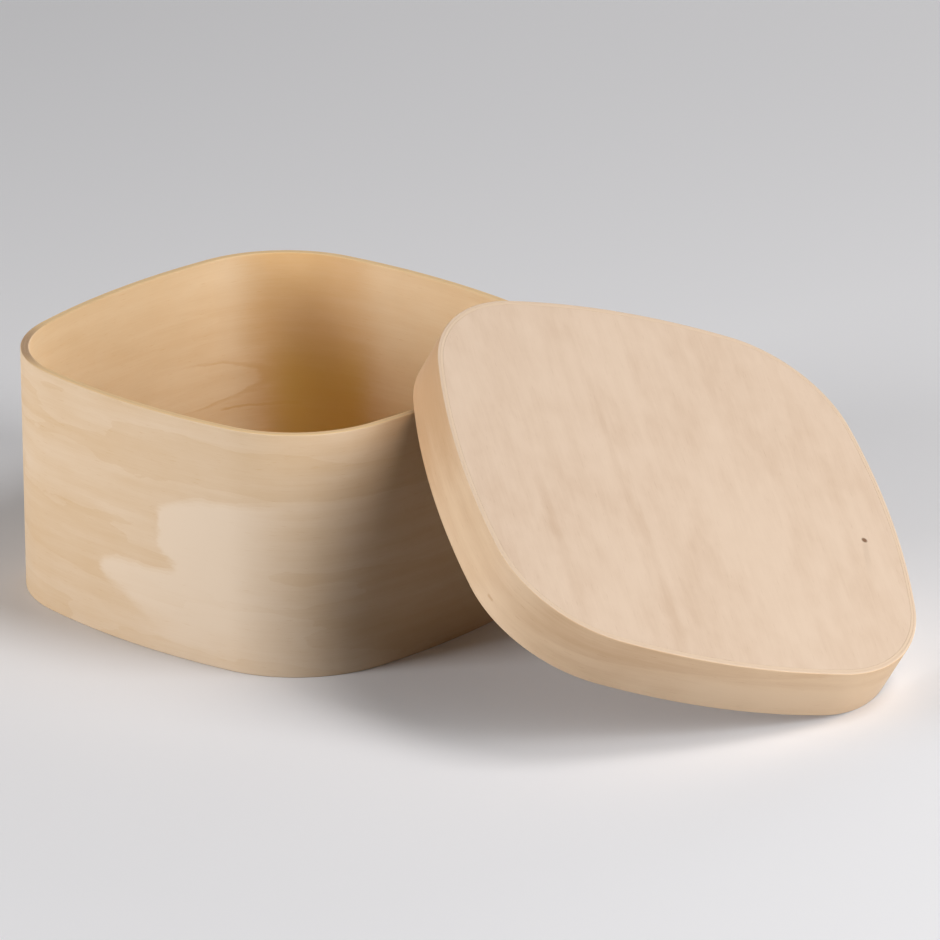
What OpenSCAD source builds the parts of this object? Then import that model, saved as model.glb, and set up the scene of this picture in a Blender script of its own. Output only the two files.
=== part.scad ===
// Chipwood box: a bent veneer wall on an inset base, with a loose lid that leans on the rim

/* [Box] */
// Width across the middle of two opposite sides, outside
box_width = 150; // [125:1:185]
// Height of the wall
box_height = 81; // [60:1:110]
// Radius of the gentle bow of each side, outside
side_radius = 230; // [180:5:320]
// Radius of each rounded corner, outside
corner_radius = 40; // [30:1:48]
// Thickness of the base board
base_thickness = 3; // [2:0.5:5]

/* [Veneer] */
// Thickness of one veneer
veneer = 0.9; // [0.6:0.05:1.2]
// Glue line between two veneers, or between a veneer and a board
glue_line = 0.05; // [0.03:0.01:0.1]
// Length over which the two ends of a veneer are tapered to meet in a scarf seam
scarf_length = 8; // [5:0.5:12]
// Width of the glue in a scarf seam
seam_gap = 0.1; // [0.05:0.01:0.2]
// Width of the slope sanded on the edges that hands touch
edge_ease = 0.4; // [0.2:0.05:0.55]

/* [Lid] */
// Depth of the lid from its top to its open edge
lid_depth = 19; // [12:0.5:30]
// Thickness of the lid board
lid_board_thickness = 3; // [2:0.5:5]
// Gap all round between the lid band and the wall when the lid is on
lid_clearance = 0.4; // [0.2:0.05:1]

/* [Lid at rest] */
// How far the raised corner of the lid reaches past the rim, measured up its slope
lid_overhang = 16; // [12:0.5:24]
// Turn of the lid's downhill line from square to the side that it leans on, in degrees
lid_lean = 4; // [0:0.5:8]
// Turn of the lid about its own middle, from its downhill line to the middle of a side
lid_spin = 34.5; // [25:0.5:65]
// Shift of the lid along the side that it leans on
lid_slide = 11.5; // [0:0.5:20]
// Gap left between the open edge of the lid and the rim under it
rest_gap = 0.3; // [0.2:0.05:0.5]

/* [Hidden] */
$fn = 180;

// Every outline is the box outline set out or in, so all of them share the same arc centres
bow_centre = side_radius - box_width / 2;
radius_step = side_radius - corner_radius;
corner_centre = (sqrt(2 * radius_step ^ 2 - bow_centre ^ 2) - bow_centre) / 2;
side_half_angle = atan2(corner_centre, corner_centre + bow_centre);

// Outsets of the outer faces of the veneers and of the board edges from the box outline
ply_step = veneer + glue_line;
wall_inside = -2 * ply_step - veneer;
base_outset = wall_inside - glue_line;
lid_outset = lid_clearance + veneer + ply_step;
lid_inside = lid_clearance;
lid_board_outset = lid_inside - glue_line;

// Width of the swept border of a board, which its middle reaches half-way into
board_border = corner_radius / 2;

// Scarf seams stand at the middle of a side, turned away from the front corner
scarf_angle = atan2(veneer, scarf_length);
scarf_overrun = 4;
back_side = 90;
right_side = 0;
left_side = 180;

// Spare length by which a cutting shape passes the face that it cuts
spare = 1;
// Angle by which a swept arc passes the middle of its side or corner before it is trimmed there
spare_angle = 3;

// Lid at rest: its lowest corner stands on the ground and its open edge lies on the rim
lean_angle = lid_lean - 90;
lid_support = corner_centre * (cos(lid_spin) + sin(lid_spin)) + corner_radius + lid_outset;
rim_distance = lid_support - lid_overhang;
lid_tilt = asin((box_height + rest_gap) / (lid_support + rim_distance));
crossing_right = reach(lid_inside, lid_spin + 90, rim_distance);
crossing_left = reach(lid_inside, lid_spin - 90, -rim_distance);
rim_reach = max(
    reach(0, lean_angle, lid_slide + crossing_right),
    reach(0, lean_angle, lid_slide - crossing_left)
);
lid_place = concat(
    direction(lean_angle) * (rim_reach + rim_distance * cos(lid_tilt))
        + direction(lean_angle + 90) * lid_slide,
    [lid_support * sin(lid_tilt)]
);

outer_tone = "#dcc3a3";
core_tone = "#b99a78";
inner_tone = "#d8b48a";
board_tone = "#e4ccb2";
band_tone = "#d2b491";

function direction(angle) = [cos(angle), sin(angle)];

// Smallest turn from one direction to another, in degrees
function turn_between(a, b) = abs((a - b + 900) % 360 - 180);

// Arcs of an outline, each as its centre, radius, middle direction and half angle
function outline_arcs(outset) = [
    for (quarter = [0:90:270]) each [
        [-bow_centre * direction(quarter), side_radius + outset, quarter, side_half_angle],
        [
            corner_centre * sqrt(2) * direction(quarter + 45),
            corner_radius + outset,
            quarter + 45,
            45 - side_half_angle
        ]
    ]
];

// Where a line along the given direction, a distance to its left, leaves an outline
function reach(outset, angle, left) = max([
    for (arc = outline_arcs(outset))
        let (
            offset = left - arc[0] * direction(angle + 90),
            turn = abs(offset) < arc[1] ? asin(offset / arc[1]) : 90
        )
        if (turn_between(angle + turn, arc[2]) <= arc[3])
            arc[0] * direction(angle) + arc[1] * cos(turn)
]);

// One eighth of a swept outline: half a side, and half the corner that carries on from its end
module outline_eighth(outset, height) {
    intersection() {
        translate([-bow_centre, 0, 0])
            rotate(-side_half_angle) {
                rotate_extrude(angle = side_half_angle + spare_angle)
                    translate([side_radius + outset, 0])
                        children();
                translate([radius_step, 0, 0])
                    mirror([0, 1, 0])
                        rotate_extrude(angle = 45 - side_half_angle + spare_angle)
                            translate([corner_radius + outset, 0])
                                children();
            }
        translate([0, 0, -spare])
            linear_extrude(height + 2 * spare)
                polygon([[0, 0], [box_width, 0], [box_width, -box_width]]);
    }
}

// Sweep of a flat section round the outline, with the section's outer face at its own origin
module sweep_outline(outset, height) {
    for (quarter = [0:90:270])
        rotate(quarter) {
            outline_eighth(outset, height)
                children();
            mirror([0, 1, 0])
                outline_eighth(outset, height)
                    children();
        }
}

// Waste of a sanded edge, with the sharp corner of the section at its own origin
module edge_waste() {
    polygon([
        [-edge_ease, 0],
        [0, -edge_ease],
        [spare, -edge_ease],
        [spare, spare],
        [-edge_ease, spare]
    ]);
}

// Cross-section of a veneer, with any of its edges eased
module veneer_section(height, top_out, top_in, bottom_out, bottom_in) {
    difference() {
        translate([-veneer, 0])
            square([veneer, height]);
        if (top_out)
            translate([0, height])
                edge_waste();
        if (bottom_out)
            mirror([0, 1])
                edge_waste();
        if (top_in)
            translate([-veneer, height])
                mirror([1, 0])
                    edge_waste();
        if (bottom_in)
            translate([-veneer, 0])
                rotate(180)
                    edge_waste();
    }
}

// Veneer strip bent round the outline, with its tapered ends a glue line apart
module bent_veneer(
    outset, height, seam_side,
    top_out = false, top_in = false, bottom_out = false, bottom_in = false
) {
    difference() {
        sweep_outline(outset, height)
            veneer_section(height, top_out, top_in, bottom_out, bottom_in);
        rotate(seam_side)
            translate([box_width / 2 + outset - veneer / 2, 0, height / 2])
                rotate(scarf_angle)
                    cube([seam_gap, scarf_length + scarf_overrun, height + 2 * spare], center = true);
    }
}

// Flat board that fills the outline: a swept border and an eight-sided middle
module flat_board(outset, thickness) {
    middle_radius = side_radius + outset - board_border / 2;
    middle_x = middle_radius * cos(side_half_angle) - bow_centre;
    middle_y = middle_radius * sin(side_half_angle);
    sweep_outline(outset, thickness)
        translate([-board_border, 0])
            square([board_border, thickness]);
    linear_extrude(thickness)
        polygon([
            for (quarter = [0:90:270], end = [-1, 1])
                middle_x * direction(quarter) + end * middle_y * direction(quarter + 90)
        ]);
}

module lid_at_rest() {
    translate(lid_place)
        rotate(lean_angle)
            rotate([0, lid_tilt, 0])
                rotate(-lid_spin)
                    children();
}

module wall_outer_veneer() {
    color(outer_tone)
        bent_veneer(0, box_height, back_side, top_out = true, bottom_out = true);
}

module wall_core_veneer() {
    color(core_tone)
        bent_veneer(-ply_step, box_height, right_side);
}

module wall_inner_veneer() {
    color(inner_tone)
        bent_veneer(-2 * ply_step, box_height, left_side, top_in = true);
}

module base_board() {
    color(board_tone)
        flat_board(base_outset, base_thickness);
}

module lid_outer_veneer() {
    color(band_tone)
        lid_at_rest()
            bent_veneer(lid_outset, lid_depth, left_side, top_out = true, bottom_out = true);
}

module lid_inner_veneer() {
    color(inner_tone)
        lid_at_rest()
            bent_veneer(lid_outset - ply_step, lid_depth, right_side, bottom_in = true);
}

module lid_board() {
    color(board_tone)
        lid_at_rest()
            translate([0, 0, lid_depth - lid_board_thickness])
                flat_board(lid_board_outset, lid_board_thickness);
}

wall_outer_veneer();
wall_core_veneer();
wall_inner_veneer();
base_board();
lid_outer_veneer();
lid_inner_veneer();
lid_board();
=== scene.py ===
import math

import bmesh
import bpy
from bpy.props import FloatProperty, FloatVectorProperty, PointerProperty
from bpy.types import Operator, Panel, PropertyGroup
from mathutils import Matrix, Quaternion, Vector


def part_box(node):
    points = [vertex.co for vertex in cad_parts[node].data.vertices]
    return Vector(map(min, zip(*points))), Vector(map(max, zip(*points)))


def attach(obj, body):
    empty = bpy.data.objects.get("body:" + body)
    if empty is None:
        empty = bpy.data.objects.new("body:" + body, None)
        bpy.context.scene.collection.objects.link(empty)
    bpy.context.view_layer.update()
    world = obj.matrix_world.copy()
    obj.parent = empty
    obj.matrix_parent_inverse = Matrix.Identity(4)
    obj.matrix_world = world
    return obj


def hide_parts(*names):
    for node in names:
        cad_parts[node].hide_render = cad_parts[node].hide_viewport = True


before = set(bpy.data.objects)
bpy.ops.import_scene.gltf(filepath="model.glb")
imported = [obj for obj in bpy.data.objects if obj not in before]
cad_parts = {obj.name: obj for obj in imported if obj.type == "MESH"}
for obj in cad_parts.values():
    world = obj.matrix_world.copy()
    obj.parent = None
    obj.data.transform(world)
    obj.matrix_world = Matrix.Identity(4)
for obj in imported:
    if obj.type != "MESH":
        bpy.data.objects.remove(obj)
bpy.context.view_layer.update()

bl_info = {
    "name": "Chipwood box",
    "version": (1, 0, 0),
    "blender": (4, 5, 0),
    "location": "View3D > Sidebar > Chipwood box",
    "description": "Models and dresses a bent veneer box with its loose lid",
    "category": "Object",
}

WALL_LOW, WALL_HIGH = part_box("wall_outer_veneer")
BASE_LOW, BASE_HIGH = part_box("base_board")
BAND_LOW, BAND_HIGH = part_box("lid_outer_veneer")

MM = 0.001
TENTH = 0.0001
GRAIN_MAP = "grain"

# Fineness of the meshes: steps of half a side and of a whole corner, segments of a rounded edge,
# and the greatest angle between two faces that are shaded as one
SIDE_STEPS = 8
CORNER_STEPS = 28
EASE_SEGMENTS = 3
SMOOTH_ANGLE = math.radians(35)

# Least share of a face's normal along an axis for the face to look that way
FACING = 0.9

# Most that a piece may depart from the corners of the solid that it stands for
FIT_LIMIT = 0.15 * MM

# Middles of the sides, as turns from the middle of the right-hand side
RIGHT_SIDE = 0.0
BACK_SIDE = math.pi / 2
LEFT_SIDE = math.pi

# Veneers in the wall
WALL_PLIES = 3

# Corners of a veneer's section: whether they lie outside, and whether they lie on top
OUTER_TOP = (True, True)
OUTER_FOOT = (True, False)
INNER_TOP = (False, True)
INNER_FOOT = (False, False)

# Layers of the figure of peeled wood: their size along and across the grain
RING_GRAIN = (150 * MM, 28 * MM)
RING_EDGE_GRAIN = (8 * MM, 3 * MM)
STREAK_GRAIN = (90 * MM, 4.5 * MM)
CLOUD_GRAIN = (22 * MM, 9 * MM)
FIBRE_GRAIN = (16 * MM, 0.6 * MM)
FLECK_GRAIN = (4.5 * MM, 0.45 * MM)
RELIEF_GRAIN = (12 * MM, 0.5 * MM)

# Steps of the rings and their stray, share of the fibres, and levels of noise between which flecks set in
RING_COUNT = 4
RING_STRAY = 0.02
FIBRE_SHARE = 0.18
FLECK_CUT = (0.64, 0.8)

# How far apart two seeds lie in the noise
SEED_STEP = (3.7, 1.9, 1.0)

# Finish of bare wood: the sheen spreads across the fibres and is duller on sanded edges
ROUGHNESS = (0.5, 0.62)
RELIEF_CUT = (0.3, 0.7)
SHEEN = 0.3
EDGE_SHEEN = 0.05
SHEEN_SPREAD = 0.7
QUARTER_TURN = 0.25
RELIEF_STRENGTH = 0.12
RELIEF_DEPTH = 0.2 * MM

# Sanded edges of a strip: how far they reach on to its face and past its height, and their dark tone
EDGE_INSIDE = 0.2 * MM
EDGE_OUTSIDE = 0.05 * MM
EDGE_FIGURE = 0.25

# Outer veneer of the wall: lengths from its seam and heights from its foot.
# The edge of its pale patch runs through points of height and length in millimetres,
# drawn on a sheet whose spans are given below them.
PATCH_EDGE = (
    (0, 147), (9, 137), (17, 124), (22, 114), (27, 119), (28.6, 146), (36, 140),
    (47, 139), (51, 144), (55, 163), (58, 200), (61, 300),
)
PATCH_SPANS = (81, 300)
PATCH_BLUR = 1.1 * MM
PATCH_SOFT = (-1.5 * MM, 2 * MM)
PATCH_RISE = (2 * MM, 26 * MM)
PATCH_FADE = (158 * MM, 200 * MM)
PALE_FOOT = (150 * MM, 190 * MM)
PALE_FOOT_RISE = (6 * MM, 24 * MM)
# Painted shade: a tan, more orange tone on the front side, which lies in the shade of the leaning lid
WARM_SHADE_SIDE = (240 * MM, 320 * MM)

# Stretches of the three veneers where the rim is browner, at the corner between the back and left-hand
# sides, each from the seam of its veneer
OUTER_BROWN = (56 * MM, 68 * MM)
CORE_BROWN = (184 * MM, 196 * MM)
INNER_BROWN = (439 * MM, 451 * MM)
BROWN_SOFT = 20 * MM

# Inner veneer of the wall: lengths from its seam and heights from its foot
TONGUE_MIDDLE = (370 * MM, 38.2 * MM)
TONGUE_HALF = (46 * MM, 8.5 * MM)
TONGUE_FADE = (340 * MM, 390 * MM)
TONGUE_TIP = (300 * MM, 343 * MM)
DARK_STREAK = (314 * MM, 338 * MM)
DARK_STREAK_HEIGHT = (28.2 * MM, 28.6 * MM)
# Painted shade: a tan, more orange tone in the far corner inside, where shade falls
WARM_SHADE_CORNER = (295 * MM, 318 * MM)
# Painted shade: a gold-brown tone low in the far corner inside, where shade falls; its stretch, the
# heights over which it fades out, and its share
PAINTED_SHADE_CORNER = (294 * MM, 312 * MM)
PAINTED_SHADE_RISE = (34 * MM, 60 * MM)
PAINTED_SHADE_SHARE = 0.62

# Outer veneer of the lid band: lengths from its seam and heights from the open edge
UPPER_SLOPE = -0.105
UPPER_EDGE = (-13.4 * MM, -12.7 * MM)
UPPER_STRETCH = (205 * MM, 275 * MM)
BAND_FLECK = (174.5 * MM, 176 * MM)
BAND_FLECK_HEIGHT = (5 * MM, 5.3 * MM)
# A darker stretch of the band, partly painted shade and partly darker figure
DIM_TONE_AND_SHADE = (60 * MM, 96 * MM)
# A paler stretch low on the band, partly paler figure and partly painted light thrown up from the floor
PALE_AND_LIT_STRETCH = (260 * MM, 330 * MM)
PALE_AND_LIT_RISE = (8 * MM, 13 * MM)

# Lid board: places from its middle, along and across the grain
MIDDLE_STREAK = (-20 * MM, -17.5 * MM)
LOWER_STREAK = (-51 * MM, -49.5 * MM)
LOWER_STRETCH = (-20 * MM, 40 * MM)
MOTTLE_GRAIN = (7 * MM, 4 * MM)
DRIFT_GRAIN = (60 * MM, 35 * MM)
KNOT_PLACE = (12.2 * MM, 63.6 * MM)
KNOT_EDGE = (0.6 * MM, 1.3 * MM)
KNOT_SHARE = 0.9
TAIL_SLOPE = 0.17
TAIL_WIDTH = (-0.4 * MM, 0.4 * MM)
TAIL_START = (0, 2 * MM)
TAIL_END = (2 * MM, 20 * MM)
TAIL_SHARE = 0.1

# Lamps: degrees to the right of the camera and above the floor, then width and height in metres
LAMPS = {
    "left": (-68, 14, 0.6, 0.6),
    "right": (60, 21, 0.6, 1.1),
    "top": (70, 60, 0.5, 0.5),
    "back": (165, 12, 0.9, 0.9),
}
LAMP_DISTANCE = 1.5
BACKDROP_STRENGTH = 0.85
FLOOR_SIZE = 12
FLOOR_ROUGHNESS = 0.9
SENSOR_WIDTH = 36


def to_tenth(length):
    """A length rounded to a tenth of a millimetre, to be rid of the facets of the solid."""
    return round(length / TENTH) * TENTH


def srgb(code):
    """A colour written as on a paint chart, in the linear light that shaders take."""
    levels = [int(code[i:i + 2], 16) / 255 for i in (0, 2, 4)]
    return tuple(((v + 0.055) / 1.055) ** 2.4 if v > 0.04045 else v / 12.92 for v in levels)


def length_prop(name, description, default):
    """A length that a user can set."""
    return FloatProperty(
        name=name,
        description=description,
        default=default,
        min=0,
        precision=5,
        subtype="DISTANCE",
        unit="LENGTH",
    )


def angle_prop(name, description, degrees):
    """An angle that a user can set, given in degrees."""
    return FloatProperty(
        name=name,
        description=description,
        default=math.radians(degrees),
        subtype="ANGLE",
        unit="ROTATION",
    )


def colour_prop(name, description, code):
    """A colour that a user can set."""
    return FloatVectorProperty(
        name=name,
        description=description,
        default=srgb(code),
        min=0,
        max=1,
        size=3,
        subtype="COLOR",
    )


def power_prop(name, description, watts):
    """The power of a lamp that a user can set."""
    return FloatProperty(name=name, description=description, default=watts, unit="POWER")


class BoxSizes(PropertyGroup):
    """Sizes of the box and its veneers"""

    width: length_prop(
        "Width", "Across the middles of two opposite sides", to_tenth(WALL_HIGH.x - WALL_LOW.x)
    )
    height: length_prop("Height", "Height of the wall", to_tenth(WALL_HIGH.z - WALL_LOW.z))
    side_radius: length_prop("Side radius", "Bow of each side, outside", 230 * MM)
    corner_radius: length_prop("Corner radius", "Bend at each corner, outside", 40 * MM)
    base: length_prop("Base", "Thickness of the base board", to_tenth(BASE_HIGH.z - BASE_LOW.z))
    veneer: length_prop("Veneer", "Thickness of one veneer", 0.9 * MM)
    glue_line: length_prop("Glue line", "Gap between two glued faces", 0.05 * MM)
    scarf: length_prop("Scarf", "Length of the tapered seam of a veneer", 8 * MM)
    seam_gap: length_prop("Seam gap", "Width of the glue in a scarf seam", 0.1 * MM)
    edge_ease: length_prop("Edge ease", "Rounding sanded on the edges that hands touch", 0.4 * MM)


class LidSizes(PropertyGroup):
    """Sizes of the lid and how it leans"""

    depth: length_prop("Depth", "From the top of the lid to its open edge", 19 * MM)
    board: length_prop("Board", "Thickness of the lid board", 3 * MM)
    clearance: length_prop("Clearance", "Gap all round between the closed lid and the wall", 0.4 * MM)
    lean: angle_prop("Lean", "Direction in which the lid slopes down", -86)
    tilt: angle_prop("Tilt", "Slope of the lid", 30.93)
    spin: angle_prop("Spin", "Turn of the lid about its own middle", 34.5)


class WoodColours(PropertyGroup):
    """Colours of the raw wood"""

    wall_pale: colour_prop("Wall pale", "Pale figure of the outer veneer", "F1D9BE")
    wall_tan: colour_prop("Wall tan", "Dark figure of the outer veneer", "DCB788")
    lining_pale: colour_prop("Lining pale", "Pale figure of the inner veneer", "F1D7B2")
    lining_tan: colour_prop("Lining tan", "Dark figure of the inner veneer", "DEB681")
    core: colour_prop("Core", "Core veneer, with its fibres upright", "EECC9C")
    # The sanded rim is pale, and browner over a short stretch at the corner between the back and
    # left-hand sides
    rim_pale: colour_prop("Rim pale", "Sanded rim of the wall, where it stayed pale", "F2CF9E")
    rim_brown: colour_prop("Rim brown", "Sanded rim of the wall, where it darkened", "BC9A78")
    band_pale: colour_prop("Band pale", "Pale figure of the lid band", "F2D3B0")
    band_tan: colour_prop("Band tan", "Dark figure of the lid band", "D7AF86")
    band_edge: colour_prop("Band edge", "Sanded edges of the lid band", "DFC8B1")
    board_pale: colour_prop("Board pale", "Ground of the lid board", "DFC7B0")
    board_tan: colour_prop("Board tan", "Streaks of the lid board", "C3A488")
    base_pale: colour_prop("Base pale", "Ground of the base board", "E6CCAD")
    base_tan: colour_prop("Base tan", "Streaks of the base board", "CDAE8A")
    # Painted shade: the gold-brown tone of the deep shade low in the far corner inside
    painted_shade: colour_prop("Golden", "Inner veneer where it turned golden", "DAB450")
    knot: colour_prop("Knot", "Pin knot in the lid board", "6E4A2E")


class StageSettings(PropertyGroup):
    """Camera, lamps and floor"""

    azimuth: angle_prop("Azimuth", "Direction of view, from +Y towards +X", 48.94)
    elevation: angle_prop("Elevation", "Height of the view above the horizon", 21.18)
    roll: angle_prop("Roll", "Turn of the camera about its view", -0.22)
    distance: length_prop("Distance", "From the camera to the point that it looks at", 2.4738)
    aim: FloatVectorProperty(
        name="Aim",
        description="Point that the camera looks at",
        default=(15.2 * MM, -62.9 * MM, 47.8 * MM),
        size=3,
        subtype="XYZ",
        unit="LENGTH",
    )
    lens: FloatProperty(
        name="Lens", description="Focal length in millimetres", default=299.4, unit="CAMERA"
    )
    floor: colour_prop("Floor", "Colour of the floor", "F0EFF1")
    floor_bounce: colour_prop("Floor bounce", "Colour that the floor throws back on the box", "A0A0A3")
    left_power: power_prop("Left lamp", "Power of the left softbox", 15.4)
    right_power: power_prop("Right lamp", "Power of the right softbox", 19.2)
    top_power: power_prop("Top lamp", "Power of the high softbox", 7.2)
    back_power: power_prop("Back lamp", "Power of the fill from the back", 5)
    ambient: FloatProperty(
        name="Ambient", description="Strength of the even light from all round", default=0.03
    )


# Shape of the outline

def bow_centre(sizes):
    """Distance from the middle of the box to the centre of a side's bow."""
    return sizes.side_radius - sizes.width / 2


def corner_centre(sizes):
    """Distance from the middle of the box to the centre of a corner, along X and along Y."""
    step = sizes.side_radius - sizes.corner_radius
    bow = bow_centre(sizes)
    return (math.sqrt(2 * step ** 2 - bow ** 2) - bow) / 2


def side_half_angle(sizes):
    """Half the angle of a side's bow."""
    corner = corner_centre(sizes)
    return math.atan2(corner, corner + bow_centre(sizes))


def quarter_length(sizes):
    """Length of a quarter of the outline."""
    half = side_half_angle(sizes)
    return 2 * half * sizes.side_radius + (math.pi / 2 - 2 * half) * sizes.corner_radius


def strip_place(sizes, x, y):
    """Length along the outline to a point, and how far outside it the point lies.

    The length starts in the middle of the right-hand side.
    """
    quarter = round(math.atan2(y, x) / (math.pi / 2))
    turned = Vector((x, y, 0)) @ Matrix.Rotation(quarter * math.pi / 2, 3, "Z")
    across = abs(turned.y)
    half = side_half_angle(sizes)
    corner = corner_centre(sizes)
    bow = bow_centre(sizes)
    angle = math.atan2(across, turned.x + bow)
    if angle <= half:
        length = angle * sizes.side_radius
        outset = math.hypot(across, turned.x + bow) - sizes.side_radius
    else:
        bend = math.atan2(across - corner, turned.x - corner) - half
        length = half * sizes.side_radius + bend * sizes.corner_radius
        outset = math.hypot(across - corner, turned.x - corner) - sizes.corner_radius
    return quarter * quarter_length(sizes) + math.copysign(length, turned.y), outset


def outline_bends(sizes):
    """Centre, angle and steps of each bend, from the middle of the right-hand side all the way round."""
    half = side_half_angle(sizes)
    bow = bow_centre(sizes)
    corner = corner_centre(sizes)
    bends = [((-bow, 0, 0), half, SIDE_STEPS)]
    for quarter in range(4):
        turn = Matrix.Rotation(quarter * math.pi / 2, 3, "Z")
        bends.append((turn @ Vector((corner, corner, 0)), math.pi / 2 - 2 * half, CORNER_STEPS))
        bends.append((turn @ Vector((0, -bow, 0)), 2 * half, 2 * SIDE_STEPS))
    # The last side goes only half its way, back to the start
    bends[-1] = ((-bow, 0, 0), half, SIDE_STEPS)
    return bends


# Mesh tools

def pick_corners(piece, test):
    """Select the corners of a piece in edit mode for whose places the test is true."""
    bpy.ops.mesh.select_mode(type="VERT")
    bpy.ops.mesh.select_all(action="DESELECT")
    mesh = bmesh.from_edit_mesh(piece.data)
    for corner in mesh.verts:
        corner.select_set(test(corner.co))
    mesh.select_flush_mode()
    bmesh.update_edit_mesh(piece.data)


def spin_round(sizes):
    """Spin what is selected round the whole outline, counter-clockwise seen from above."""
    for centre, angle, steps in outline_bends(sizes):
        bpy.ops.mesh.spin(steps=steps, angle=-angle, center=centre, axis=(0, 0, 1))


def start_plane(name, place, turn, size):
    """A rectangle at its size and place, in edit mode."""
    bpy.ops.object.select_all(action="DESELECT")
    bpy.ops.mesh.primitive_plane_add(size=1, location=place, rotation=turn)
    piece = bpy.context.object
    piece.name = name
    piece.data.name = name
    piece.scale = (*size, 1)
    bpy.ops.object.transform_apply(location=True, rotation=True, scale=True)
    bpy.ops.object.mode_set(mode="EDIT")
    return piece


def close_up(piece):
    """Turn the faces of a piece outwards and leave edit mode."""
    bpy.ops.mesh.select_all(action="SELECT")
    bpy.ops.mesh.normals_make_consistent(inside=False)
    bpy.ops.object.mode_set(mode="OBJECT")


def set_grain(piece, place):
    """Write the grain map of a piece.

    place gives the length along the grain and across it, for a face and one of its corners.
    """
    layer = piece.data.uv_layers.new(name=GRAIN_MAP)
    for face in piece.data.polygons:
        for loop in face.loop_indices:
            corner = piece.data.vertices[piece.data.loops[loop].vertex_index].co
            layer.data[loop].uv = place(face, corner)


def bend_veneer(name, outset, height, seam_side, eased):
    """A veneer strip bent round the outline from its scarf seam, in the frame of its box or lid.

    eased names the corners of the section that are sanded round.
    """
    sizes = bpy.context.scene.chipwood_box
    outer = sizes.width / 2 + outset
    middle = outer - sizes.veneer / 2
    piece = start_plane(name, (middle, 0, height / 2), (math.pi / 2, 0, 0), (sizes.veneer, height))
    pick_corners(piece, lambda place: (place.x > middle, place.z > height / 2) in eased)
    if eased:
        bpy.ops.mesh.bevel(offset=sizes.edge_ease, segments=EASE_SEGMENTS, affect="VERTICES")
    bpy.ops.mesh.select_all(action="SELECT")
    spin_round(sizes)
    taper_ends(piece, sizes, middle)
    close_up(piece)
    wrap_grain(piece, sizes, outer, height)
    bpy.ops.object.shade_smooth_by_angle(angle=SMOOTH_ANGLE)
    piece.data.transform(Matrix.Rotation(seam_side, 4, "Z"))
    return piece


def taper_ends(piece, sizes, middle):
    """Slant the two ends of a bent strip, so that they meet in a scarf with a glue line between them."""
    mesh = bmesh.from_edit_mesh(piece.data)
    caps = [f for f in mesh.faces if all(abs(v.co.y) < TENTH for v in f.verts)]
    ends = {}
    for cap in caps:
        inner_edge = next(e for e in cap.verts[0].link_edges if e not in cap.edges)
        side = math.copysign(1, inner_edge.other_vert(cap.verts[0]).co.y)
        ends[side] = cap
    for side, cap in ends.items():
        for vert in cap.verts:
            slant = (vert.co.x - middle) / sizes.veneer * sizes.scarf
            vert.co.y += slant + side * sizes.seam_gap / 2
    bmesh.update_edit_mesh(piece.data)


def wrap_grain(piece, sizes, outer, height):
    """Grain map of a bent strip: length from the seam, and height, carried on across its edges."""
    total = 4 * quarter_length(sizes)

    def place(face, corner):
        """Length and height of a corner, kept on the same side of the seam as its face."""
        middle = strip_place(sizes, face.center.x, face.center.y)[0] % total
        length, outset = strip_place(sizes, corner.x, corner.y)
        length += round((middle - length) / total) * total
        depth = outer - sizes.width / 2 - outset
        if face.normal.z > FACING:
            return length, height + depth
        if face.normal.z < -FACING:
            return length, -depth
        return length, corner.z

    set_grain(piece, place)


def cut_board(name, outset, low, thickness):
    """A flat board that fills the outline set in or out."""
    sizes = bpy.context.scene.chipwood_box
    start = sizes.width / 2 + outset
    piece = start_plane(name, (start, 0, low), (0, 0, 0), (sizes.veneer, sizes.veneer))
    # The rectangle shrinks to one point, which draws the outline as it goes round
    bpy.ops.mesh.merge(type="CENTER")
    spin_round(sizes)
    bpy.ops.mesh.select_all(action="SELECT")
    bpy.ops.mesh.remove_doubles(threshold=TENTH / 10)
    bpy.ops.mesh.edge_face_add()
    bpy.ops.mesh.extrude_region_move(TRANSFORM_OT_translate={"value": (0, 0, thickness)})
    close_up(piece)
    set_grain(piece, lambda face, corner: (corner.x, corner.y))
    bpy.ops.object.shade_smooth_by_angle(angle=SMOOTH_ANGLE)
    return piece


def lid_place():
    """Frame of the leaning lid, with its origin in the middle of its open edge."""
    lid = bpy.context.scene.chipwood_lid
    turn = (
        Matrix.Rotation(lid.lean, 4, "Z")
        @ Matrix.Rotation(lid.tilt, 4, "Y")
        @ Matrix.Rotation(-lid.spin, 4, "Z")
    )
    middle = (BAND_LOW + BAND_HIGH) / 2
    return Matrix.Translation(middle - turn @ Vector((0, 0, lid.depth / 2))) @ turn


def seat(piece, node, body, material):
    """Check a finished piece against its solid, dress it and tie it to its body."""
    corners = [Vector(v.co) for v in piece.data.vertices]
    cad_low, cad_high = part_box(node)
    for axis in range(3):
        low = min(c[axis] for c in corners)
        high = max(c[axis] for c in corners)
        if max(abs(low - cad_low[axis]), abs(high - cad_high[axis])) > FIT_LIMIT:
            raise RuntimeError(f"{piece.name} departs from {node}: {low}, {high}, {cad_low}, {cad_high}")
    piece.data.materials.clear()
    piece.data.materials.append(material)
    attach(piece, body)
    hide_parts(node)


# Materials

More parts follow.
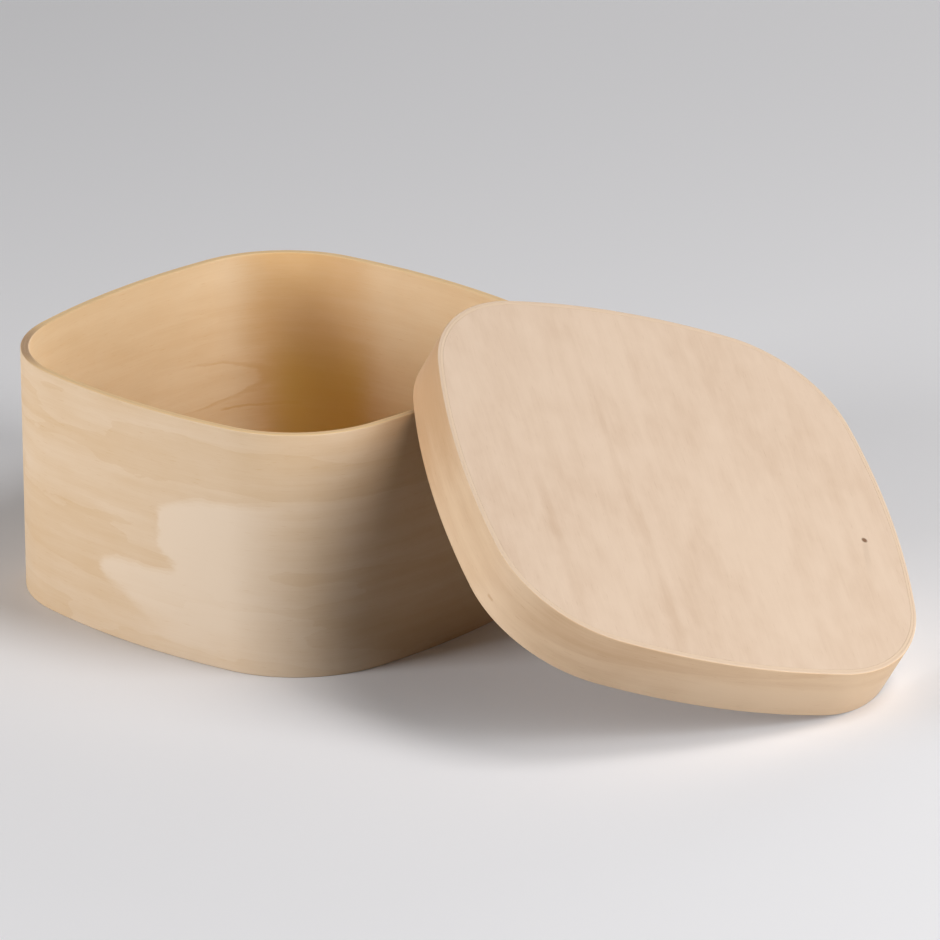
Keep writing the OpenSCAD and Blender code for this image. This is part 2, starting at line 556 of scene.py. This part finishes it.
class Shader:
    """A wood under construction, with the places along and across the grain that it is drawn by."""

    def __init__(self, name):
        self.material = bpy.data.materials.new(name)
        self.material.use_nodes = True
        self.tree = self.material.node_tree
        self.surface = self.tree.nodes["Principled BSDF"]
        self.grain = self.add("ShaderNodeUVMap", uv_map=GRAIN_MAP).outputs["UV"]
        split = self.add("ShaderNodeSeparateXYZ")
        self.link(self.grain, split.inputs[0])
        self.along = split.outputs["X"]
        self.across = split.outputs["Y"]

    def add(self, kind, **settings):
        """A new node with its settings."""
        node = self.tree.nodes.new(kind)
        for key, value in settings.items():
            setattr(node, key, value)
        return node

    def link(self, source, target):
        """Join two sockets."""
        self.tree.links.new(source, target)

    def feed(self, socket, value):
        """Give a socket a constant, or the result of another node."""
        if isinstance(value, bpy.types.NodeSocket):
            self.link(value, socket)
        else:
            socket.default_value = value

    def math(self, operation, *values):
        """The result of an operation on one, two or three values."""
        node = self.add("ShaderNodeMath", operation=operation)
        for socket, value in zip(node.inputs, values):
            self.feed(socket, value)
        return node.outputs[0]

    def product(self, *values):
        """All values multiplied."""
        result = values[0]
        for value in values[1:]:
            result = self.math("MULTIPLY", result, value)
        return result

    def squares(self, first, second):
        """Sum of two squares."""
        return self.math("MULTIPLY_ADD", first, first, self.product(second, second))

    def total(self, *terms, start=0.0):
        """Sum of terms, each a value and its share, added to a start."""
        result = start
        for value, share in terms:
            result = self.math("MULTIPLY_ADD", value, share, result)
        return result

    def ramp(self, value, span, first=0.0, last=1.0):
        """A soft step from the first result to the last, over a span of values."""
        node = self.add("ShaderNodeMapRange", interpolation_type="SMOOTHSTEP")
        for socket, entry in zip(node.inputs, (value, *span, first, last)):
            self.feed(socket, entry)
        return node.outputs[0]

    def window(self, value, stretch, soft):
        """1 on a stretch of values, and 0 beyond a soft margin outside it."""
        low, high = stretch
        rise = self.ramp(value, (low - soft, low))
        return self.product(rise, self.ramp(value, (high, high + soft), 1.0, 0.0))

    def curve(self, value, points, value_span, result_span):
        """A result read off a drawn line, through points given as value and result in millimetres."""
        node = self.add("ShaderNodeFloatCurve")
        line = node.mapping.curves[0].points
        for _ in points[2:]:
            line.new(0.5, 0.5)
        for mark, (at, to) in zip(line, points):
            mark.location = (at / value_span, to / result_span)
            mark.handle_type = "AUTO_CLAMPED"
        node.mapping.update()
        self.link(self.math("MULTIPLY", value, 1 / (value_span * MM)), node.inputs["Value"])
        return self.math("MULTIPLY", node.outputs["Value"], result_span * MM)

    def noise(self, grain, seed, detail=2.0, roughness=0.5):
        """Noise from 0 to 1, whose features have the given size along and across the grain."""
        long, wide = grain
        mapping = self.add("ShaderNodeMapping")
        mapping.inputs["Location"].default_value = [seed * step for step in SEED_STEP]
        mapping.inputs["Scale"].default_value = (1 / long, 1 / wide, 1)
        self.link(self.grain, mapping.inputs["Vector"])
        node = self.add("ShaderNodeTexNoise")
        self.link(mapping.outputs["Vector"], node.inputs["Vector"])
        node.inputs["Scale"].default_value = 1
        node.inputs["Detail"].default_value = detail
        node.inputs["Roughness"].default_value = roughness
        return node.outputs["Fac"]

    def swing(self, grain, seed, detail=2.0, roughness=0.5):
        """Noise that swings about 0."""
        return self.math("SUBTRACT", self.noise(grain, seed, detail, roughness), 0.5)

    def wobbled(self, value, grain, seed, reach):
        """A value strayed to and fro by up to the reach."""
        return self.math("MULTIPLY_ADD", self.swing(grain, seed, detail=3), 2 * reach, value)

    def mix(self, factor, first, second):
        """A blend of two colours."""
        node = self.add("ShaderNodeMix", data_type="RGBA")
        self.feed(node.inputs["Factor"], factor)
        for socket, colour in ((node.inputs["A"], first), (node.inputs["B"], second)):
            self.feed(socket, colour if isinstance(colour, bpy.types.NodeSocket) else (*colour, 1))
        return node.outputs["Result"]

    def finish(self, colour, relief, edges=None):
        """Wire up the colour, a sheen that spreads across the fibres, and their relief.

        edges is the share of the sanded edges, which are duller.
        """
        sheen = self.ramp(edges, (0.0, 1.0), SHEEN, EDGE_SHEEN) if edges else SHEEN
        tangent = self.add("ShaderNodeTangent", direction_type="UV_MAP", uv_map=GRAIN_MAP)
        bump = self.add("ShaderNodeBump")
        bump.inputs["Strength"].default_value = RELIEF_STRENGTH
        bump.inputs["Distance"].default_value = RELIEF_DEPTH
        self.link(relief, bump.inputs["Height"])
        entries = {
            "Base Color": colour,
            "Roughness": self.ramp(relief, RELIEF_CUT, *ROUGHNESS),
            "Specular IOR Level": sheen,
            "Anisotropic": SHEEN_SPREAD,
            "Anisotropic Rotation": QUARTER_TURN,
            "Tangent": tangent.outputs["Tangent"],
            "Normal": bump.outputs["Normal"],
        }
        for name, entry in entries.items():
            self.feed(self.surface.inputs[name], entry)
        return self.material


def plain_figure(shader, seed, rings=0.12, streaks=0.4, clouds=0.35, flecks=0.2):
    """Share of the dark tone in a peeled sheet: rings, streaks, clouds, fibres and short flecks."""
    broad = shader.noise(RING_GRAIN, seed, detail=3)
    broad = shader.wobbled(broad, RING_EDGE_GRAIN, seed + 8, RING_STRAY)
    ring = shader.math("FRACT", shader.product(broad, RING_COUNT))
    streak = shader.swing(STREAK_GRAIN, seed + 1, detail=3, roughness=0.55)
    cloud = shader.swing(CLOUD_GRAIN, seed + 6, detail=3)
    fibre = shader.swing(FIBRE_GRAIN, seed + 7, roughness=0.6)
    fleck = shader.ramp(shader.noise(FLECK_GRAIN, seed + 2, detail=1), FLECK_CUT)
    return shader.total(
        (ring, rings), (streak, streaks), (cloud, clouds), (fibre, FIBRE_SHARE), (fleck, flecks)
    )


def fibre_relief(shader, seed):
    """Fine relief of the fibres along the grain."""
    return shader.noise(RELIEF_GRAIN, seed + 3, detail=3, roughness=0.65)


def wall_figure(shader, seed):
    """Dark tone of the outer veneer: a pale patch with a torn-looking edge beside the front corner, and
    painted shade on the front side under the leaning lid.
    """
    high = shader.wobbled(shader.across, (12 * MM, 6 * MM), seed + 4, reach=1.5 * MM)
    high = shader.wobbled(high, (3 * MM, 1.5 * MM), seed + 9, reach=0.5 * MM)
    long = shader.wobbled(shader.along, (9 * MM, 4 * MM), seed + 5, reach=2.5 * MM)
    long = shader.wobbled(long, (4 * MM, 1 * MM), seed + 10, reach=1.5 * MM)
    shifts = (-PATCH_BLUR, 0, PATCH_BLUR)
    blurred = []
    for shift in shifts:
        edge = shader.curve(shader.math("ADD", high, shift), PATCH_EDGE, *PATCH_SPANS)
        beyond = shader.ramp(shader.math("SUBTRACT", long, edge), PATCH_SOFT)
        blurred.append((beyond, 1 / len(shifts)))
    patch = shader.product(
        shader.total(*blurred),
        shader.ramp(shader.across, PATCH_RISE),
        shader.ramp(shader.along, PATCH_FADE, 1.0, 0.12),
    )
    foot = shader.product(
        shader.window(shader.along, PALE_FOOT, soft=30 * MM),
        shader.ramp(shader.across, PALE_FOOT_RISE, 1.0, 0.0),
    )
    # Painted shade: more tan where the lid shades the front side
    warm_shade = shader.window(shader.along, WARM_SHADE_SIDE, soft=40 * MM)
    plain = plain_figure(shader, seed)
    return shader.total((plain, 0.95), (patch, -0.5), (foot, -0.2), (warm_shade, 0.2), start=0.46)


def lining_figure(shader, seed):
    """Dark tone of the lining: a pale tongue outlined in brown, a dark streak on the back wall, and
    painted shade in the far corner.
    """
    high = shader.wobbled(shader.across, (14 * MM, 5 * MM), seed + 4, reach=1.4 * MM)
    high = shader.wobbled(high, (3 * MM, 1.2 * MM), seed + 9, reach=0.4 * MM)
    long = shader.wobbled(shader.along, (10 * MM, 4 * MM), seed + 5, reach=4 * MM)
    long = shader.wobbled(long, (4 * MM, 1 * MM), seed + 10, reach=1.5 * MM)
    reach = shader.math("DIVIDE", shader.math("SUBTRACT", long, TONGUE_MIDDLE[0]), TONGUE_HALF[0])
    rise = shader.math("DIVIDE", shader.math("SUBTRACT", high, TONGUE_MIDDLE[1]), TONGUE_HALF[1])
    ring = shader.squares(reach, rise)
    tongue = shader.product(
        shader.ramp(ring, (0.85, 1.0), 1.0, 0.0),
        shader.ramp(shader.along, TONGUE_FADE, 1.0, 0.3),
    )
    outline = shader.product(
        shader.ramp(ring, (0.88, 1.0)),
        shader.ramp(ring, (1.0, 1.25), 1.0, 0.0),
        shader.window(shader.along, TONGUE_TIP, soft=20 * MM),
    )
    streak = shader.product(
        shader.window(high, DARK_STREAK_HEIGHT, soft=0.4 * MM),
        shader.window(shader.along, DARK_STREAK, soft=4 * MM),
    )
    # Painted shade: the far corner inside is tinted tan
    warm_shade = shader.window(shader.along, WARM_SHADE_CORNER, soft=20 * MM)
    plain = plain_figure(shader, seed, rings=0.05)
    return shader.total(
        (plain, 1.0), (tongue, -0.1), (outline, 0.22), (streak, 0.45), (warm_shade, 0.4), start=0.38
    )


def lining_painted_shade(shader):
    """Share of painted shade on the lining: a gold-brown tone low in the far corner, where shade falls.
    """
    return shader.product(
        shader.window(shader.along, PAINTED_SHADE_CORNER, soft=16 * MM),
        shader.ramp(shader.across, PAINTED_SHADE_RISE, PAINTED_SHADE_SHARE, 0.0),
    )


def band_figure(shader, seed):
    """Dark tone of the lid band: a darker upper part that ends in a slanting edge, a fleck, a darker
    stretch that is partly painted shade, and a paler stretch low down that is partly painted light.
    """
    high = shader.wobbled(shader.across, (20 * MM, 4 * MM), seed + 4, reach=0.8 * MM)
    slope = shader.math("MULTIPLY_ADD", shader.along, UPPER_SLOPE, high)
    upper = shader.product(
        shader.ramp(slope, UPPER_EDGE),
        shader.window(shader.along, UPPER_STRETCH, soft=25 * MM),
    )
    fleck = shader.product(
        shader.window(high, BAND_FLECK_HEIGHT, soft=0.5 * MM),
        shader.window(shader.along, BAND_FLECK, soft=1 * MM),
    )
    # Partly painted shade: the band is darker over this stretch
    dim_tone_and_shade = shader.window(shader.along, DIM_TONE_AND_SHADE, soft=50 * MM)
    # Partly painted light: the band is paler low down over this stretch
    pale = shader.product(
        shader.window(shader.along, PALE_AND_LIT_STRETCH, soft=40 * MM),
        shader.ramp(high, PALE_AND_LIT_RISE, 1.0, 0.3),
    )
    plain = plain_figure(shader, seed, rings=0.04, clouds=0.5)
    return shader.total(
        (plain, 1.25), (upper, 0.16), (fleck, 0.45), (dim_tone_and_shade, 0.5), (pale, -0.3), start=0.36
    )


def lid_figure(shader, seed):
    """Dark tone of the lid board: faint streaks along the grain, two of them stronger."""
    line = shader.wobbled(shader.across, (50 * MM, 12 * MM), seed + 4, reach=3 * MM)
    middle = shader.product(
        shader.window(line, MIDDLE_STREAK, soft=3 * MM),
        shader.ramp(shader.noise((30 * MM, 3 * MM), seed + 5), (0.35, 0.6), 0.2, 1.0),
    )
    lower = shader.product(
        shader.window(line, LOWER_STREAK, soft=2.5 * MM),
        shader.window(shader.along, LOWER_STRETCH, soft=30 * MM),
    )
    mottle = shader.swing(MOTTLE_GRAIN, seed + 11)
    drift = shader.swing(DRIFT_GRAIN, seed + 12)
    plain = plain_figure(shader, seed, rings=0.0, streaks=0.28, clouds=0.5)
    return shader.total(
        (plain, 1.0), (middle, 0.11), (lower, 0.12), (mottle, 0.26), (drift, 0.5), start=0.25
    )


def edge_share(shader, height):
    """1 on the sanded edge at the top or bottom of a bent strip, and 0 on its faces."""
    top = shader.ramp(shader.across, (height - EDGE_INSIDE, height + EDGE_OUTSIDE))
    bottom = shader.ramp(shader.across, (-EDGE_OUTSIDE, EDGE_INSIDE), 1.0, 0.0)
    return shader.math("MAXIMUM", top, bottom)


def strip_wood(name, figure, tones, height, seed, darkened=None, painted_shade=None):
    """Bent veneer with its figure on its faces and another tone on its sanded edges.

    tones are the pale and the dark one of the faces and that of the edges.
    darkened gives a second tone of the edges, and the stretch along the strip that has it.
    painted_shade gives a tone of painted shade on the faces, and the function for its share.
    """
    shader = Shader(name)
    pale, tan, sanded = tones
    face = shader.mix(shader.ramp(figure(shader, seed), (0.0, 1.0)), pale, tan)
    # Painted shade: a third tone mixed into the faces where shade falls
    if painted_shade:
        tone, share = painted_shade
        face = shader.mix(share(shader), face, tone)
    edge = shader.mix(shader.product(fibre_relief(shader, seed + 7), EDGE_FIGURE), sanded, tan)
    if darkened:
        brown, stretch = darkened
        edge = shader.mix(shader.window(shader.along, stretch, BROWN_SOFT), edge, brown)
    edges = edge_share(shader, height)
    return shader.finish(shader.mix(edges, face, edge), fibre_relief(shader, seed), edges)


def pin_knot(shader, ground, tone):
    """A ground with a pin knot in it, which has a faint tail along the grain."""
    side = shader.math("SUBTRACT", shader.along, KNOT_PLACE[0])
    rise = shader.math("SUBTRACT", shader.across, KNOT_PLACE[1])
    tail = shader.product(
        shader.window(shader.math("MULTIPLY_ADD", side, TAIL_SLOPE, rise), TAIL_WIDTH, soft=1.2 * MM),
        shader.ramp(side, TAIL_START),
        shader.ramp(side, TAIL_END, TAIL_SHARE, 0.0),
    )
    reach = shader.math("SQRT", shader.squares(side, rise))
    spot = shader.ramp(reach, KNOT_EDGE, KNOT_SHARE, 0.0)
    return shader.mix(spot, shader.mix(tail, ground, tone), tone)


def board_wood(name, figure, pale, tan, seed, knot=None):
    """Flat board with its figure, and a pin knot if it has the tone of one."""
    shader = Shader(name)
    colour = shader.mix(shader.ramp(figure(shader, seed), (0.0, 1.0)), pale, tan)
    if knot:
        colour = pin_knot(shader, colour, knot)
    return shader.finish(colour, fibre_relief(shader, seed))


# Operators

class CHIPWOOD_OT_wall(Operator):
    """Bend the three veneers of the wall"""

    bl_idname = "chipwood.wall"
    bl_label = "Wall veneers"

    def execute(self, context):
        sizes = context.scene.chipwood_box
        colours = context.scene.chipwood_colours
        step = sizes.veneer + sizes.glue_line
        high = sizes.height
        brown = colours.rim_brown

        outer = bend_veneer("wall_outer", 0, high, BACK_SIDE, {OUTER_TOP, OUTER_FOOT})
        tones = (colours.wall_pale, colours.wall_tan, colours.rim_pale)
        wood = strip_wood("Wall veneer", wall_figure, tones, high, seed=1, darkened=(brown, OUTER_BROWN))
        seat(outer, "wall_outer_veneer", "box", wood)

        core = bend_veneer("wall_core", -step, high, RIGHT_SIDE, set())
        tones = (colours.core, brown, colours.core)
        wood = strip_wood("Core veneer", plain_figure, tones, high, seed=11, darkened=(brown, CORE_BROWN))
        seat(core, "wall_core_veneer", "box", wood)

        inner = bend_veneer("wall_lining", -(WALL_PLIES - 1) * step, high, LEFT_SIDE, {INNER_TOP})
        tones = (colours.lining_pale, colours.lining_tan, colours.rim_pale)
        # The lining carries painted shade low in its far corner
        wood = strip_wood(
            "Lining veneer", lining_figure, tones, high, seed=21,
            darkened=(brown, INNER_BROWN), painted_shade=(colours.painted_shade, lining_painted_shade),
        )
        seat(inner, "wall_inner_veneer", "box", wood)
        return {"FINISHED"}


class CHIPWOOD_OT_base(Operator):
    """Cut the base board"""

    bl_idname = "chipwood.base"
    bl_label = "Base board"

    def execute(self, context):
        sizes = context.scene.chipwood_box
        colours = context.scene.chipwood_colours
        outset = -WALL_PLIES * (sizes.veneer + sizes.glue_line)
        base = cut_board("base", outset, low=0, thickness=sizes.base)
        wood = board_wood("Base board", plain_figure, colours.base_pale, colours.base_tan, seed=31)
        seat(base, "base_board", "box", wood)
        return {"FINISHED"}


class CHIPWOOD_OT_lid_band(Operator):
    """Bend the two veneers of the lid band"""

    bl_idname = "chipwood.lid_band"
    bl_label = "Lid band"

    def execute(self, context):
        sizes = context.scene.chipwood_box
        lid = context.scene.chipwood_lid
        colours = context.scene.chipwood_colours
        deep = lid.depth
        inner_outset = lid.clearance + sizes.veneer
        outer_outset = inner_outset + sizes.veneer + sizes.glue_line

        outer = bend_veneer("lid_band_outer", outer_outset, deep, LEFT_SIDE, {OUTER_TOP, OUTER_FOOT})
        outer.data.transform(lid_place())
        tones = (colours.band_pale, colours.band_tan, colours.band_edge)
        wood = strip_wood("Band veneer", band_figure, tones, deep, seed=41)
        seat(outer, "lid_outer_veneer", "lid", wood)

        inner = bend_veneer("lid_band_inner", inner_outset, deep, RIGHT_SIDE, {INNER_FOOT})
        inner.data.transform(lid_place())
        tones = (colours.lining_pale, colours.lining_tan, colours.band_edge)
        wood = strip_wood("Band lining", plain_figure, tones, deep, seed=51)
        seat(inner, "lid_inner_veneer", "lid", wood)
        return {"FINISHED"}


class CHIPWOOD_OT_lid_board(Operator):
    """Cut the lid board"""

    bl_idname = "chipwood.lid_board"
    bl_label = "Lid board"

    def execute(self, context):
        sizes = context.scene.chipwood_box
        lid = context.scene.chipwood_lid
        colours = context.scene.chipwood_colours
        outset = lid.clearance - sizes.glue_line
        board = cut_board("lid_panel", outset, low=lid.depth - lid.board, thickness=lid.board)
        board.data.transform(lid_place())
        pale, tan = colours.board_pale, colours.board_tan
        wood = board_wood("Lid board", lid_figure, pale, tan, seed=61, knot=colours.knot)
        seat(board, "lid_board", "lid", wood)
        return {"FINISHED"}


def toward_lamp(view, right, up):
    """Direction from the box to a lamp, in degrees to the right of the camera and above the floor."""
    turn = Quaternion((0, 0, 1), math.radians(right))
    rise = math.radians(up)
    return turn @ -view * math.cos(rise) + Vector((0, 0, math.sin(rise)))


def softbox(name, target, toward, width, height, power):
    """A soft lamp that faces a point from the given direction."""
    bpy.ops.object.light_add(type="AREA", location=target + toward * LAMP_DISTANCE)
    lamp = bpy.context.object
    lamp.name = name
    lamp.data.shape = "RECTANGLE"
    lamp.data.size = width
    lamp.data.size_y = height
    lamp.data.energy = power
    lamp.rotation_euler = (-toward).to_track_quat("-Z", "Y").to_euler()


def seen_directly(tree):
    """1 for what is seen, straight or as a reflection, and 0 for light thrown on the box."""
    path = tree.nodes.new("ShaderNodeLightPath")
    seen = path.outputs["Is Camera Ray"]
    for name in ("Is Glossy Ray", "Is Transmission Ray"):
        either = tree.nodes.new("ShaderNodeMath")
        either.operation = "MAXIMUM"
        tree.links.new(seen, either.inputs[0])
        tree.links.new(path.outputs[name], either.inputs[1])
        seen = either.outputs[0]
    return seen


def thrown_or_seen(tree, thrown, seen, output):
    """Wire up one shader for the light thrown on the box and another for what is seen."""
    both = tree.nodes.new("ShaderNodeMixShader")
    tree.links.new(seen_directly(tree), both.inputs[0])
    tree.links.new(thrown.outputs[0], both.inputs[1])
    tree.links.new(seen.outputs[0], both.inputs[2])
    tree.links.new(both.outputs[0], tree.nodes[output].inputs["Surface"])


def floor_paint(stage):
    """Pale matt floor, which throws less light back on the box than it shows."""
    paint = bpy.data.materials.new("Floor")
    paint.use_nodes = True
    tree = paint.node_tree
    bounce = tree.nodes["Principled BSDF"]
    bounce.inputs["Base Color"].default_value = (*stage.floor_bounce, 1)
    bounce.inputs["Roughness"].default_value = FLOOR_ROUGHNESS
    matt = tree.nodes.new("ShaderNodeBsdfDiffuse")
    matt.inputs["Color"].default_value = (*stage.floor, 1)
    thrown_or_seen(tree, bounce, matt, "Material Output")
    return paint


def studio_world(stage):
    """Even light from all round, behind a pale backdrop."""
    world = bpy.data.worlds.new("Studio")
    world.use_nodes = True
    tree = world.node_tree
    light = tree.nodes["Background"]
    light.inputs["Color"].default_value = (1, 1, 1, 1)
    light.inputs["Strength"].default_value = stage.ambient
    backdrop = tree.nodes.new("ShaderNodeBackground")
    backdrop.inputs["Color"].default_value = (*stage.floor, 1)
    backdrop.inputs["Strength"].default_value = BACKDROP_STRENGTH
    thrown_or_seen(tree, light, backdrop, "World Output")
    return world


class CHIPWOOD_OT_stage(Operator):
    """Set up the floor, lamps and camera"""

    bl_idname = "chipwood.stage"
    bl_label = "Stage"

    def execute(self, context):
        stage = context.scene.chipwood_stage
        aim = Vector(stage.aim)
        bpy.ops.object.select_all(action="DESELECT")
        bpy.ops.mesh.primitive_plane_add(size=FLOOR_SIZE, location=(0, 0, 0))
        floor = bpy.context.object
        floor.name = "floor"
        floor.data.materials.append(floor_paint(stage))

        level = Vector((math.sin(stage.azimuth), math.cos(stage.azimuth), 0))
        forward = level * math.cos(stage.elevation) - Vector((0, 0, math.sin(stage.elevation)))
        bpy.ops.object.camera_add(location=aim - forward * stage.distance)
        camera = bpy.context.object
        camera.rotation_mode = "QUATERNION"
        camera.rotation_quaternion = forward.to_track_quat("-Z", "Y") @ Quaternion((0, 0, 1), stage.roll)
        camera.data.sensor_width = SENSOR_WIDTH
        camera.data.lens = stage.lens
        context.scene.camera = camera

        for side, (right, up, width, height) in LAMPS.items():
            power = getattr(stage, f"{side}_power")
            softbox(f"{side}_softbox", aim, toward_lamp(level, right, up), width, height, power)
        context.scene.world = studio_world(stage)
        context.scene.view_settings.view_transform = "Standard"
        return {"FINISHED"}


class VIEW3D_PT_chipwood(Panel):
    """Buttons and settings of the chipwood box"""

    bl_label = "Chipwood box"
    bl_idname = "VIEW3D_PT_chipwood"
    bl_space_type = "VIEW_3D"
    bl_region_type = "UI"
    bl_category = "Chipwood box"

    def draw(self, context):
        for operator in OPERATORS:
            self.layout.operator(operator.bl_idname)
        for name in SETTINGS:
            group = getattr(context.scene, name)
            column = self.layout.column(heading=group.bl_rna.description)
            for key in group.__annotations__:
                column.prop(group, key)


OPERATORS = (
    CHIPWOOD_OT_wall,
    CHIPWOOD_OT_base,
    CHIPWOOD_OT_lid_band,
    CHIPWOOD_OT_lid_board,
    CHIPWOOD_OT_stage,
)
SETTINGS = {
    "chipwood_box": BoxSizes,
    "chipwood_lid": LidSizes,
    "chipwood_colours": WoodColours,
    "chipwood_stage": StageSettings,
}


def register():
    """Make the settings, operators and panel known to Blender."""
    for name, group in SETTINGS.items():
        bpy.utils.register_class(group)
        setattr(bpy.types.Scene, name, PointerProperty(type=group))
    for operator in OPERATORS:
        bpy.utils.register_class(operator)
    bpy.utils.register_class(VIEW3D_PT_chipwood)


def unregister():
    """Undo what register did."""
    bpy.utils.unregister_class(VIEW3D_PT_chipwood)
    for operator in reversed(OPERATORS):
        bpy.utils.unregister_class(operator)
    for name, group in SETTINGS.items():
        delattr(bpy.types.Scene, name)
        bpy.utils.unregister_class(group)


def main():
    """Build everything."""
    register()
    bpy.ops.chipwood.wall()
    bpy.ops.chipwood.base()
    bpy.ops.chipwood.lid_band()
    bpy.ops.chipwood.lid_board()
    bpy.ops.chipwood.stage()


if __name__ == "__main__":
    main()
